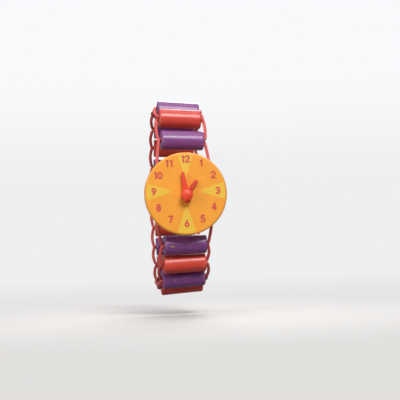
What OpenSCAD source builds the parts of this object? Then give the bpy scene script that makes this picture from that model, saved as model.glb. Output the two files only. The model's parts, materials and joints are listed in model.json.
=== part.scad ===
// Toy wrist watch: lacquered wooden beads laced on an elastic cord, with a turned wooden dial
// and two hands that a child turns by finger.
// Millimetres. The origin is the middle of the wrist opening. X runs along the wrist,
// the dial faces -Y and twelve o'clock is up, along +Z.

/* [Beads] */
// Number of beads on the band, an odd number so that both ends of the row have one colour
bead_count = 17; // [15:2:21]
// Length of one bead
bead_length = 17.5; // [14:0.5:22]
// Diameter of one bead
bead_diameter = 7.8; // [6:0.1:10]
// Rounding of a bead's end edges
bead_edge = 0.7; // [0.3:0.1:1.5]
// Easing of the mouth of a bead's bore
bore_ease = 0.3; // [0.1:0.1:0.6]

/* [Band] */
// Height of the band's loop over its depth
loop_aspect = 1.65; // [1:0.05:1.9]
// Lean of every bead, so that the loop narrows towards the right like a wrist
band_taper = 4.1; // [0:0.1:6]
// Space between two beads along the loop
bead_gap = 1.0; // [0.8:0.1:3]
// Space between the first and the second bead above the dial
top_gap = 4.2; // [0.8:0.1:8]
// Space between the beads that crowd together under the dial
low_gap = 0.8; // [0.7:0.1:3]
// Number of those crowded spaces
low_gap_count = 3; // [0:1:5]
// Space between the dial's rim and the bead above it, along the loop
rim_gap_above = 2.6; // [0.5:0.1:6]
// Space between the dial's rim and the bead below it, along the loop
rim_gap_below = 0.2; // [0.2:0.1:6]

/* [Cord] */
// Diameter of the elastic cord
cord_diameter = 1.3; // [0.8:0.1:1.6]
// Space between the two passes of cord in one bore
pass_gap = 0.1; // [0.05:0.05:0.4]
// Space between the cord and the wall of a bore
bore_clearance = 0.25; // [0.1:0.05:0.5]
// Space between a bead's end and the cord that runs across it
run_clearance = 0.3; // [0.1:0.05:1]
// Bulk of the knot around the cord
knot_bulk = 0.7; // [0.4:0.1:1]

/* [Dial] */
// Diameter of the dial
dial_diameter = 33; // [26:0.5:40]
// Thickness of the dial
dial_thickness = 3.4; // [2:0.1:6]
// Rounding of the dial's edges
dial_edge = 0.8; // [0.3:0.1:1]
// Width of the block behind the dial, along its two cord bores
block_width = 20; // [16:0.5:24]
// Height of the block behind the dial
block_height = 22; // [18:0.5:26]
// Depth of the block behind the dial
block_depth = 6; // [5:0.5:8]
// Rounding of the block's corners
block_corner = 3; // [1:0.5:5]
// Distance between the block's two cord bores
block_bore_spacing = 14; // [10:0.5:15]

/* [Hands] */
// Distance of the hands' pivot below the dial's centre
pivot_drop = 0.8; // [0:0.1:2]
// Reach of the minute hand from its pivot
minute_reach = 9.6; // [7:0.1:13]
// Width of the minute hand at its eye
minute_width = 3.0; // [2:0.1:4]
// Width of the minute hand at its tip
minute_tip = 1.2; // [0.8:0.1:2]
// Reach of the minute hand's tail
minute_tail = 3.2; // [2.6:0.1:5]
// Width of the tail
tail_width = 2.4; // [1.5:0.1:3.5]
// Angle of the minute hand from twelve o'clock, clockwise
minute_angle = -8.3; // [-180:0.1:180]
// Reach of the hour hand from its pivot
hour_reach = 7.5; // [5:0.1:12]
// Width of the hour hand
hour_width = 1.8; // [1.2:0.1:3]
// Angle of the hour hand from twelve o'clock, clockwise
hour_angle = 36.2; // [-180:0.1:180]
// Diameter of the eye that each hand turns on
eye_diameter = 4.2; // [3.4:0.1:6]
// Thickness of a hand
hand_thickness = 1.0; // [0.6:0.1:2]
// Space under each hand and under the knob
stack_gap = 0.15; // [0.1:0.05:0.4]
// Diameter of the peg that the hands turn on
peg_diameter = 2.0; // [1.5:0.1:2.6]
// Radial play between a hand and the peg
pivot_clearance = 0.05; // [0.02:0.01:0.1]
// Radial room around the peg in the dial and the block, for glue, and around the cord in its knot
glue_gap = 0.02; // [0.01:0.01:0.05]
// Depth of the peg in the block
peg_seat = 3.5; // [1:0.1:4]
// Diameter of the peg's knob
knob_diameter = 4.6; // [3.6:0.1:7]
// Height of the knob's straight side
knob_side = 0.9; // [0.4:0.1:2]
// Height of the knob's dome above its side
knob_crown = 0.8; // [0.3:0.1:1.5]

/* [Hidden] */
$fn = 48;
CORD_SIDES = 8;
BEND_STEP = 30;
ARC_STEPS = 360;
PURPLE = [0.42, 0.22, 0.46];
RED = [0.80, 0.20, 0.15];
ORANGE = [0.94, 0.60, 0.18];
WOOD = [0.84, 0.70, 0.50];
CORD_RED = [0.74, 0.20, 0.20];

// The row runs from the bead above the dial, over the top and the back, to the bead below it.
// The upper half hangs on the block's upper bore and the lower half on its lower bore.
upper_count = (bead_count + 1) / 2;
UPPER_BORE = 0;
LOWER_BORE = bead_count + 1;
KNOT_SIDE = 1;

// Path lengths from the dial's centre to each bead, along the loop
above_reach = dial_diameter / 2 + rim_gap_above + bead_diameter / 2;
below_reach = dial_diameter / 2 + rim_gap_below + bead_diameter / 2;
function space_before(i) =
    i == 2 ? top_gap :
    i > bead_count - low_gap_count ? low_gap :
    bead_gap;
function path_to(i) = i == 1 ? above_reach : path_to(i - 1) + bead_diameter + space_before(i);
loop_path = path_to(bead_count) + below_reach;

// An ellipse with that path: angle 0 is the dial's centre, and it runs up over the top
function unit_point(t) = [0, -cos(t), loop_aspect * sin(t)];
unit_steps = [for (k = [1 : ARC_STEPS])
    norm(unit_point(360 * k / ARC_STEPS) - unit_point(360 * (k - 1) / ARC_STEPS))];
unit_path = [for (k = 0, s = 0; k <= ARC_STEPS;
                  s = s + (k < ARC_STEPS ? unit_steps[k] : 0), k = k + 1) s];
loop_depth = loop_path / unit_path[ARC_STEPS];
angle_table = [for (k = [0 : ARC_STEPS]) [unit_path[k] * loop_depth, 360 * k / ARC_STEPS]];
function angle_at(s) = lookup(s, angle_table);

// The place of a bead or a bore, as centre, axis along the bead, way along the loop, way out
function unit(v) = v / norm(v);
function bead_place(i) =
    let (t = angle_at(path_to(i)),
         out = unit([0, -cos(t) * loop_aspect, sin(t)]),
         way = [0, out[2], -out[1]],
         lean = tan(band_taper))
    [loop_depth * unit_point(t), unit([1, 0, 0] - lean * out), way, unit(out + [lean, 0, 0])];
function bore_place(side) =
    [[0, -loop_depth, side * block_bore_spacing / 2], [1, 0, 0], [0, 0, 1], [0, -1, 0]];
function place(i) =
    i == UPPER_BORE ? bore_place(1) :
    i == LOWER_BORE ? bore_place(-1) :
    bead_place(i);
function half_length(i) = (i == UPPER_BORE || i == LOWER_BORE ? block_width : bead_length) / 2;

// Two passes of cord lie in each bore, one towards the outside of the loop and one towards the inside
pass_offset = (cord_diameter + pass_gap) / 2;
bore_radius = pass_offset + cord_diameter / 2 + bore_clearance;
bend_radius = cord_diameter / 2 + run_clearance;

// The run that carries the knot stands further off the beads' ends, by the knot's own radius
knot_hole = cord_diameter / 2 + glue_gap;
knot_bend = knot_hole + knot_bulk + run_clearance;

// Heights above the dial's face
dial_face = -loop_depth - block_depth / 2 - dial_thickness;
hour_level = stack_gap;
minute_level = hour_level + hand_thickness + stack_gap;
knob_level = minute_level + hand_thickness + stack_gap;

function two_digits(i) = str(i < 10 ? "0" : "", i);
bead_nodes = [for (i = [1 : bead_count]) str("bead_", two_digits(i))];
cord_nodes = [for (i = [1 : bead_count]) str("cord_", two_digits(i))];

// Frames and routes

function at(p, u, v, w) = p[0] + u * p[1] + v * p[2] + w * p[3];

// A station of a route is a point, the way the cord runs there and the way out of the loop.
// side is 1 on the right and -1 on the left, heading is 1 up the row and -1 down it,
// layer is 1 for the outer pass and -1 for the inner one, and radius is that of the bend.
function bend_out(i, side, heading, layer, radius = bend_radius) =
    let (p = place(i))
    [for (a = [0 : BEND_STEP : 90])
        [at(p, side * (half_length(i) + radius * sin(a)),
            heading * radius * (1 - cos(a)),
            layer * pass_offset),
         side * cos(a) * p[1] + heading * sin(a) * p[2],
         p[3]]];
function bend_in(i, side, heading, layer, radius = bend_radius) =
    let (p = place(i))
    [for (a = [90 : -BEND_STEP : 0])
        [at(p, side * (half_length(i) + radius * sin(a)),
            -heading * radius * (1 - cos(a)),
            layer * pass_offset),
         heading * sin(a) * p[2] - side * cos(a) * p[1],
         p[3]]];
function bore_mouth(i, side, layer, way) =
    let (p = place(i))
    [[at(p, side * half_length(i), 0, layer * pass_offset), way * p[1], p[3]]];

// The lacing alternates: the outer pass crosses to the other side at every gap
function layer_of(gap, side) = gap % 2 == 0 ? side : -side;
function crossing(from, to, gap, side, radius = bend_radius) =
    let (heading = to > from ? 1 : -1, layer = layer_of(gap, side))
    concat(bend_out(from, side, heading, layer, radius), bend_in(to, side, heading, layer, radius));
function laced(from, to, gap, side) =
    concat(crossing(from, to, gap, side), bore_mouth(to, -side, layer_of(gap, side), -side));
function behind_dial(side) =
    concat(bore_mouth(UPPER_BORE, -side, side, side),
           bend_out(UPPER_BORE, side, -1, side),
           bend_in(LOWER_BORE, side, -1, -side),
           bore_mouth(LOWER_BORE, -side, -side, -side));

module cord_tube(route) {
    rings = len(route);
    points = [for (station = route)
        let (across = unit(cross(station[2], station[1])), up = unit(cross(station[1], across)))
        for (k = [0 : CORD_SIDES - 1])
            let (a = 360 * k / CORD_SIDES)
            station[0] + cord_diameter / 2 * (cos(a) * across + sin(a) * up)];
    walls = [for (r = [0 : rings - 2], k = [0 : CORD_SIDES - 1])
        let (a = r * CORD_SIDES + k, b = r * CORD_SIDES + (k + 1) % CORD_SIDES)
        each [[a, b + CORD_SIDES, b], [a, a + CORD_SIDES, b + CORD_SIDES]]];
    first_cap = [for (k = [1 : CORD_SIDES - 2]) [0, k, k + 1]];
    last = (rings - 1) * CORD_SIDES;
    last_cap = [for (k = [1 : CORD_SIDES - 2]) [last, last + k + 1, last + k]];
    polyhedron(points = points, faces = concat(walls, first_cap, last_cap));
}

// Places children, made along X, at a bead or a bore
module put(i) {
    p = place(i);
    multmatrix([[p[1][0], p[2][0], p[3][0], p[0][0]],
                [p[1][1], p[2][1], p[3][1], p[0][1]],
                [p[1][2], p[2][2], p[3][2], p[0][2]]])
        children();
}

// Places children, made flat with up along Y, at a height above the dial's face
module on_dial(level) {
    translate([0, dial_face, 0]) rotate([90, 0, 0]) translate([0, 0, level]) children();
}

// The same, but on the pivot of the hands
module on_pivot(level) {
    translate([0, 0, -pivot_drop]) on_dial(level) children();
}

// Sub-parts

module bead(i) {
    radius = bead_diameter / 2;
    color(i % 2 == 1 ? PURPLE : RED)
    put(i) rotate([0, 90, 0]) rotate_extrude()
    difference() {
        union() {
            translate([bore_radius, -bead_length / 2])
                square([radius - bead_edge - bore_radius, bead_length]);
            translate([bore_radius, -bead_length / 2 + bead_edge])
                square([radius - bore_radius, bead_length - 2 * bead_edge]);
            for (end = [-1, 1])
                translate([radius - bead_edge, end * (bead_length / 2 - bead_edge)]) circle(bead_edge);
        }
        for (end = [-1, 1])
            polygon([[bore_radius, end * (bead_length / 2 - bore_ease)],
                     [bore_radius + bore_ease, end * bead_length / 2],
                     [bore_radius, end * bead_length / 2]]);
    }
}

// One bead's two passes of cord, with the two runs that tie it to its neighbour on the dial's side
module bead_cord(i) {
    upper = i <= upper_count;
    from = upper ? i - 1 : i + 1;
    gap = upper ? i : i + 1;
    color(CORD_RED) for (side = [-1, 1]) cord_tube(laced(from, i, gap, side));
}

module cord_dial() {
    color(CORD_RED) for (side = [-1, 1]) cord_tube(behind_dial(side));
}

// The two runs at the back that close the loop
function closing_run(side) =
    let (gap = upper_count + 1, radius = side == KNOT_SIDE ? knot_bend : bend_radius)
    crossing(upper_count, gap, gap, side, radius);

module cord_closing() {
    color(CORD_RED) for (side = [-1, 1]) cord_tube(closing_run(side));
}

// The knot on its closing run, drawn up against the lower of the two beads
module cord_knot() {
    route = closing_run(KNOT_SIDE);
    turn = len(route) / 2;
    from = route[turn - 1][0];
    to = route[turn][0];
    way = unit(to - from);
    across = unit(cross([1, 0, 0], way));
    third = cross(way, across);
    seat = to - way * (knot_bulk + pass_gap);
    color(CORD_RED)
    multmatrix([[across[0], third[0], way[0], seat[0]],
                [across[1], third[1], way[1], seat[1]],
                [across[2], third[2], way[2], seat[2]]])
        rotate_extrude()
        intersection() {
            translate([knot_hole, 0]) circle(knot_bulk);
            translate([knot_hole, -knot_bulk]) square([knot_bulk, 2 * knot_bulk]);
        }
}

module dial() {
    radius = dial_diameter / 2;
    color(ORANGE)
    difference() {
        on_dial(-dial_thickness) rotate_extrude()
        union() {
            square([radius - dial_edge, dial_thickness]);
            translate([0, dial_edge]) square([radius, dial_thickness - 2 * dial_edge]);
            for (level = [dial_edge, dial_thickness - dial_edge])
                translate([radius - dial_edge, level]) circle(dial_edge);
        }
        on_pivot(-2 * dial_thickness) cylinder(r = peg_diameter / 2 + glue_gap, h = 3 * dial_thickness);
    }
}

// The block that is glued behind the dial, bored across for the cord and in front for the peg
module strap_block() {
    color(WOOD)
    difference() {
        translate([0, -loop_depth + block_depth / 2, 0]) rotate([90, 0, 0]) linear_extrude(block_depth)
            union() {
                square([block_width - 2 * block_corner, block_height], center = true);
                square([block_width, block_height - 2 * block_corner], center = true);
                for (x = [-1, 1], y = [-1, 1])
                    translate([x * (block_width / 2 - block_corner), y * (block_height / 2 - block_corner)])
                        circle(block_corner);
            }
        for (i = [UPPER_BORE, LOWER_BORE])
            put(i) rotate([0, 90, 0]) cylinder(r = bore_radius, h = 2 * block_width, center = true);
        on_pivot(-dial_thickness - peg_seat - glue_gap)
            cylinder(r = peg_diameter / 2 + glue_gap, h = peg_seat + dial_thickness);
    }
}

// The peg: a shank glued into the dial and the block, with a domed knob that keeps the hands on
module centre_peg() {
    knob_radius = knob_diameter / 2;
    dome_radius = (knob_radius * knob_radius + knob_crown * knob_crown) / (2 * knob_crown);
    shank = dial_thickness + peg_seat + knob_level;
    color(RED) union() {
        on_pivot(-dial_thickness - peg_seat) cylinder(d = peg_diameter, h = shank + knob_side / 2);
        on_pivot(knob_level) cylinder(r = knob_radius, h = knob_side);
        on_pivot(knob_level + knob_side) rotate_extrude()
            intersection() {
                translate([0, knob_crown - dome_radius]) circle(dome_radius);
                square([knob_radius, knob_crown]);
            }
    }
}

// A bar with round ends, from a circle at the origin to a smaller one up along Y
module tapered_bar(wide, narrow, reach) {
    run = reach - narrow / 2;
    lean = asin((wide - narrow) / 2 / run);
    ends = [[0, wide / 2], [run, narrow / 2]];
    flank = [for (e = ends) [e[1] * cos(lean), e[0] + e[1] * sin(lean)]];
    polygon([flank[0], flank[1], [-flank[1][0], flank[1][1]], [-flank[0][0], flank[0][1]]]);
    circle(d = wide);
    translate([0, run]) circle(d = narrow);
}

module hand(level, angle) {
    color(RED) on_pivot(level) rotate([0, 0, -angle])
    difference() {
        linear_extrude(hand_thickness) union() {
            circle(d = eye_diameter);
            children();
        }
        translate([0, 0, -hand_thickness])
            cylinder(r = peg_diameter / 2 + pivot_clearance, h = 3 * hand_thickness);
    }
}

module hour_hand() {
    hand(hour_level, hour_angle) tapered_bar(hour_width, hour_width, hour_reach);
}

module minute_hand() {
    hand(minute_level, minute_angle) {
        tapered_bar(minute_width, minute_tip, minute_reach);
        rotate([0, 0, 180]) tapered_bar(tail_width, tail_width, minute_tail);
    }
}

dial();
strap_block();
centre_peg();
hour_hand();
minute_hand();
cord_dial();
cord_closing();
cord_knot();
for (i = [1 : bead_count]) bead(i);
for (i = [1 : bead_count]) bead_cord(i);
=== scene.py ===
"""Dresses a toy wrist watch: lacquered beads on a laced elastic cord, a painted dial and two hands.

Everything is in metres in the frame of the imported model: X runs along the wrist, the dial faces -Y and
twelve o'clock is up, along +Z.
"""
import json
import logging
import math
from dataclasses import dataclass
from enum import Enum
from functools import lru_cache
from typing import Any, Sequence

import bmesh
import bpy
import numpy as np
from mathutils import Matrix, Vector, noise


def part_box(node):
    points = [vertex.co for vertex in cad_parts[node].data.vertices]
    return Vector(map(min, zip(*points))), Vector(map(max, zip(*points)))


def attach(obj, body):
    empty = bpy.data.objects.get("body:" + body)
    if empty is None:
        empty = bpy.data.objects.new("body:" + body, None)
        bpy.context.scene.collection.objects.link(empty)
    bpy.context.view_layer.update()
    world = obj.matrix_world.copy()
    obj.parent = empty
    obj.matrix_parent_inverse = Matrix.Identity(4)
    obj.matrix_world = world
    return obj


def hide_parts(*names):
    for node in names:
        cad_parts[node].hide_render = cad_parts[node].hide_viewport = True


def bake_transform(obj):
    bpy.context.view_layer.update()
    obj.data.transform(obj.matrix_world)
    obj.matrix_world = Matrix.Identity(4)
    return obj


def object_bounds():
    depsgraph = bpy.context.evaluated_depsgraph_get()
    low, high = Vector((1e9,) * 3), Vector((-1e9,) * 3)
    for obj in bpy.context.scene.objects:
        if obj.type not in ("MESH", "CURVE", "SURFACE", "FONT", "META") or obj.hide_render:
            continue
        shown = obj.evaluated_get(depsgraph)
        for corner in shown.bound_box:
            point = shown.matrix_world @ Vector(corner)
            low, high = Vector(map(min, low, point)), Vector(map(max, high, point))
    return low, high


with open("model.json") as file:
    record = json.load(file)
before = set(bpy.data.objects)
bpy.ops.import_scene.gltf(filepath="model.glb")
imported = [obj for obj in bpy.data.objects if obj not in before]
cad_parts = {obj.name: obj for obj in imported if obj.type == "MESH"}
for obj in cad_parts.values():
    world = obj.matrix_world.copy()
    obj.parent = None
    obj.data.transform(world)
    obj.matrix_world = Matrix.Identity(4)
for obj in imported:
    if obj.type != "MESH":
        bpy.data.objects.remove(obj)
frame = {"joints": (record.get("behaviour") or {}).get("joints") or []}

LOG = logging.getLogger("toy_watch")
CAD_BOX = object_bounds()
MM = 0.001
# The share that the band grows by at most, which the floor lies clear of
BAND_STRETCH = 0.2
BEAD_LENGTH = 17.5 * MM
BORE_RADIUS = 1.6 * MM
BORE_SPACING = 14 * MM
HEAD = "dial_head"
# The attribute that a finish's pattern follows, and how far apart two pieces' stretches of the pattern are
PLACE = "grain_place"
PATTERN_STEP = 0.37
BRAID_MAP = "braid"
# The degrees between two points of a bend or a rounded edge
ROUND_STEP = 15
Colour = tuple[float, float, float, float]
Triple = tuple[float, float, float]
Point = tuple[float, float]
Mesh = bpy.types.Mesh
Piece = bpy.types.Object
Socket = bpy.types.NodeSocket


def srgb(red: int, green: int, blue: int) -> Colour:
    """Turns a colour as it is seen on a screen into linear light.

    Args:
        red: Red from 0 to 255.
        green: Green from 0 to 255.
        blue: Blue from 0 to 255.

    Returns:
        The linear red, green, blue and an alpha of 1.
    """
    parts = [c / 255 for c in (red, green, blue)]
    linear = [c / 12.92 if c <= 0.04045 else ((c + 0.055) / 1.055) ** 2.4 for c in parts]
    return (linear[0], linear[1], linear[2], 1.0)


def shade(colour: Colour, share: float) -> Colour:
    """Makes a colour darker or paler by a share, with an alpha of 1."""
    red, green, blue = (min(1.0, c * share) for c in colour[:3])
    return (red, green, blue, 1.0)


class NodeBench:
    """Adds and links the nodes of one material or world."""

    def __init__(self, tree: bpy.types.NodeTree) -> None:
        """Starts with an empty tree."""
        self.tree = tree
        tree.nodes.clear()

    def feed(self, node: bpy.types.Node, feeds: dict[Any, Any]) -> None:
        """Sets or links inputs of a node.

        Args:
            node: The node.
            feeds: For each input, a value to set or a socket to link.
        """
        for key, value in feeds.items():
            if isinstance(value, Socket):
                self.tree.links.new(value, node.inputs[key])
            else:
                node.inputs[key].default_value = value

    def add(self, kind: str, feeds: dict[Any, Any] | None = None, **settings: Any) -> bpy.types.Node:
        """Adds one node.

        Args:
            kind: The node's type.
            feeds: For each input, a value to set or a socket to link.
            settings: Properties of the node.

        Returns:
            The new node.
        """
        node = self.tree.nodes.new(kind)
        for name, value in settings.items():
            setattr(node, name, value)
        self.feed(node, feeds or {})
        return node

    def number(self, operation: str, *feeds: Any) -> Socket:
        """Works out one number from others."""
        return self.add("ShaderNodeMath", dict(enumerate(feeds)), operation=operation).outputs[0]

    def weigh(self, first: Any, first_share: float, second: Any, second_share: float) -> Socket:
        """Adds two numbers, each times its share."""
        scaled = self.number("MULTIPLY", first, first_share)
        return self.number("ADD", scaled, self.number("MULTIPLY", second, second_share))

    def scaled(self, place: Any, *scales: float) -> Socket:
        """Scales a place along X, Y and Z, which draws a pattern out where the scale is small."""
        return self.add("ShaderNodeVectorMath", {0: place, 1: scales}, operation="MULTIPLY").outputs[0]

    def parts(self, vector: Any) -> Sequence[Socket]:
        """Takes a vector apart into X, Y and Z."""
        return self.add("ShaderNodeSeparateXYZ", {0: vector}).outputs

    def blend(self, share: Any, first: Any, second: Any) -> Socket:
        """Mixes two colours, from the first at a share of 0 to the second at 1."""
        feeds = {0: share, 6: first, 7: second}
        return self.add("ShaderNodeMix", feeds, data_type="RGBA").outputs[2]

    def step(self, value: Any, low: float, high: float) -> Socket:
        """Rises smoothly from 0 at low to 1 at high."""
        feeds = {0: value, 1: low, 2: high}
        return self.add("ShaderNodeMapRange", feeds, interpolation_type="SMOOTHSTEP").outputs[0]

    def spread(self, value: Any, low: float, high: float) -> Socket:
        """Turns a value from 0 to 1 into one from low to high."""
        return self.add("ShaderNodeMapRange", {0: value, 3: low, 4: high}).outputs[0]

    def mottle(self, place: Any, scale: float, detail: float = 3.0, rough: float = 0.55) -> Socket:
        """Noise from 0 to 1, where scale is the number of patches per metre."""
        feeds = {"Vector": place, "Scale": scale, "Detail": detail, "Roughness": rough}
        return self.add("ShaderNodeTexNoise", feeds).outputs[0]

    def stored(self, name: str) -> Socket:
        """Reads a number that the mesh stores."""
        return self.add("ShaderNodeAttribute", attribute_name=name).outputs["Fac"]

    def place(self) -> Socket:
        """Reads the place in the pattern that the mesh stores."""
        return self.add("ShaderNodeAttribute", attribute_name=PLACE).outputs["Vector"]

    def seen_directly(self) -> Socket:
        """1 where a ray comes straight from the camera."""
        return self.add("ShaderNodeLightPath").outputs["Is Camera Ray"]

    def relief(self, height: Any, depth: float, strength: float, under: Any = None) -> Socket:
        """Bumps the surface by a height from 0 to 1.

        Args:
            height: The height.
            depth: How deep a height of 1 is, in metres.
            strength: How much of it shows.
            under: Another relief that this one lies on.

        Returns:
            The bumped normal.
        """
        feeds = {"Height": height, "Distance": depth, "Strength": strength}
        if under is not None:
            feeds["Normal"] = under
        return self.add("ShaderNodeBump", feeds).outputs[0]


class Mark(Enum):
    """What a blemish takes off a bead: its attribute, and its count and sizes in mm at a bead's ends."""

    CHIP = ("chip", 3, 0.14, 0.28)
    # Scuffs also carry a pale band round each bead's end edges, partly rubbed lacquer and partly a painted
    # highlight.
    SCUFF = ("scuff", 5, 0.5, 1.2)

    def __init__(self, attribute: str, count: int, least: float, most: float) -> None:
        """Keeps what the mark is known by.

        Args:
            attribute: The name that the finish reads it by.
            count: How many of them a bead has at its ends.
            least: The least size of these.
            most: The greatest size of these.
        """
        self.attribute = attribute
        self.count = count
        self.least = least
        self.most = most


@dataclass(frozen=True)
class Finish:
    """A finish of some pieces, with one material and one slot. Scales are in patches per metre."""

    name: str
    slot: str

    def dress(self, bench: NodeBench, shader: bpy.types.Node) -> None:
        """Feeds the shader of the finish's material."""
        raise NotImplementedError


@lru_cache(maxsize=None)
def material_of(finish: Finish) -> bpy.types.Material:
    """Makes a finish's material at its first use.

    Args:
        finish: The finish.

    Returns:
        Its material.
    """
    material = bpy.data.materials.new(finish.name)
    material.use_nodes = True
    bench = NodeBench(material.node_tree)
    shader = bench.add("ShaderNodeBsdfPrincipled")
    bench.add("ShaderNodeOutputMaterial", {"Surface": shader.outputs["BSDF"]})
    finish.dress(bench, shader)
    return material


@dataclass(frozen=True)
class Lacquer(Finish):
    """Dipped gloss lacquer over turned wood, with streaks, scuffs, chips down to the wood and pale end
    edges that are partly a painted highlight.
    """

    light: Colour
    deep: Colour
    scuffed: Colour
    wood: Colour = srgb(196, 160, 92)
    gloss: float = 0.33
    streak_scale: float = 1500
    cloud_scale: float = 190
    chip_scale: float = 2600
    hair_scale: float = 5200
    faint_scale: float = 2300
    grain_scale: float = 3200
    peel_scale: float = 1300

    def dress(self, bench: NodeBench, shader: bpy.types.Node) -> None:
        """Feeds the lacquer's colour, gloss and relief.

        Args:
            bench: The bench of the finish's material.
            shader: Its shader.
        """
        place = bench.place()
        streak = bench.mottle(bench.scaled(place, 0.10, 1.0, 1.0), self.streak_scale, 4)
        cloud = bench.mottle(place, self.cloud_scale, 3)
        tone = bench.weigh(streak, 0.55, cloud, 0.45)
        coat = bench.blend(bench.step(tone, 0.34, 0.66), self.deep, self.light)
        ragged = bench.number("SUBTRACT", bench.mottle(place, self.chip_scale, 5, 0.7), 0.5)
        chip = bench.weigh(bench.stored(Mark.CHIP.attribute), 1.0, ragged, 0.7)
        bare = bench.step(chip, 0.44, 0.54)
        slanted = bench.scaled(place, 0.25, 1.0, 0.5)
        hairs = bench.step(bench.mottle(slanted, self.hair_scale, 2), 0.52, 0.64)
        # The scuff mark holds scuffs and the pale band on the end edges, which is partly rubbed lacquer and
        # partly a painted highlight.
        scuff = bench.number("MULTIPLY", bench.stored(Mark.SCUFF.attribute), hairs)
        faint = bench.step(bench.mottle(slanted, self.faint_scale, 4, 0.65), 0.62, 0.74)
        worn_and_highlight = bench.number("MAXIMUM", scuff, bench.number("MULTIPLY", faint, 0.22))
        grain = bench.mottle(bench.scaled(place, 0.06, 1.0, 1.0), self.grain_scale, 3)
        timber = bench.blend(grain, self.wood, shade(self.wood, 0.55))
        colour = bench.blend(bare, bench.blend(worn_and_highlight, coat, self.scuffed), timber)
        sheer = bench.spread(cloud, self.gloss - 0.07, self.gloss + 0.10)
        rough = bench.weigh(sheer, 1.0, bench.number("MAXIMUM", worn_and_highlight, bare), 0.32)
        peel = bench.relief(bench.mottle(place, self.peel_scale, 2), 0.04 * MM, 0.22)
        fibre = bench.relief(streak, 0.05 * MM, 0.25, peel)
        cut = bench.relief(bench.number("SUBTRACT", 1.0, bare), 0.10 * MM, 0.7, fibre)
        bench.feed(shader, {"Base Color": colour, "Roughness": rough, "Normal": cut,
                            "Coat Weight": 0.22, "Coat Roughness": 0.26, "Specular IOR Level": 0.5})


@dataclass(frozen=True)
class DialPaint(Finish):
    """Satin paint on a turned disc, a little uneven, and paler where the attribute named rim is 1: rubbed
    paint and a painted rim highlight.
    """

    light: Colour
    deep: Colour
    rubbed: Colour
    cloud_scale: float = 150
    speck_scale: float = 2400
    rub_scale: float = 700
    peel_scale: float = 1500

    def dress(self, bench: NodeBench, shader: bpy.types.Node) -> None:
        """Feeds the paint's colour, gloss and relief.

        Args:
            bench: The bench of the finish's material.
            shader: Its shader.
        """
        place = bench.place()
        cloud = bench.mottle(place, self.cloud_scale, 4)
        paint = bench.blend(bench.step(cloud, 0.30, 0.70), self.deep, self.light)
        # Pale patches on the front rounded edge: partly rubbed paint, partly a painted rim highlight.
        patches = bench.step(bench.mottle(place, self.rub_scale, 4, 0.6), 0.42, 0.62)
        rub_and_highlight = bench.number("MULTIPLY", bench.stored("rim"), patches)
        colour = bench.blend(bench.number("MULTIPLY", rub_and_highlight, 0.75), paint, self.rubbed)
        peel = bench.relief(bench.mottle(place, self.peel_scale, 2), 0.05 * MM, 0.18)
        grit = bench.relief(bench.mottle(place, self.speck_scale, 3), 0.02 * MM, 0.25, peel)
        bench.feed(shader, {"Base Color": colour, "Roughness": bench.spread(cloud, 0.42, 0.55),
                            "Normal": grit, "Coat Weight": 0.12, "Coat Roughness": 0.3})


@dataclass(frozen=True)
class Ink(Finish):
    """A film of printed ink that thins out where the attribute named fade falls to 0."""

    solid: Colour
    thin: Colour
    ground: Colour
    cover_scale: float = 900

    def dress(self, bench: NodeBench, shader: bpy.types.Node) -> None:
        """Feeds the ink's colour, gloss and relief.

        Args:
            bench: The bench of the finish's material.
            shader: Its shader.
        """
        cover = bench.mottle(bench.place(), self.cover_scale, 4, 0.6)
        film = bench.blend(bench.step(cover, 0.28, 0.72), self.thin, self.solid)
        fade = bench.step(bench.stored("fade"), 0.0, 1.0)
        colour = bench.blend(fade, self.ground, film)
        bench.feed(shader, {"Base Color": colour, "Roughness": bench.spread(cover, 0.44, 0.58),
                            "Normal": bench.relief(cover, 0.02 * MM, 0.25)})


@dataclass(frozen=True)
class HandPlastic(Finish):
    """Moulded plastic with finger marks and hairline scratches."""

    light: Colour
    deep: Colour
    cloud_scale: float = 420
    scratch_scale: float = 3800

    def dress(self, bench: NodeBench, shader: bpy.types.Node) -> None:
        """Feeds the plastic's colour, gloss and relief.

        Args:
            bench: The bench of the finish's material.
            shader: Its shader.
        """
        place = bench.place()
        cloud = bench.mottle(place, self.cloud_scale, 3)
        hairline = bench.mottle(bench.scaled(place, 1.0, 0.2, 1.0), self.scratch_scale, 2)
        scratch = bench.step(hairline, 0.58, 0.70)
        colour = bench.blend(bench.step(cloud, 0.3, 0.7), self.deep, self.light)
        rough = bench.weigh(bench.spread(cloud, 0.40, 0.54), 1.0, scratch, 0.12)
        bench.feed(shader, {"Base Color": colour, "Roughness": rough,
                            "Normal": bench.relief(scratch, 0.02 * MM, 0.2),
                            "Coat Weight": 0.08, "Coat Roughness": 0.3})


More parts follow.
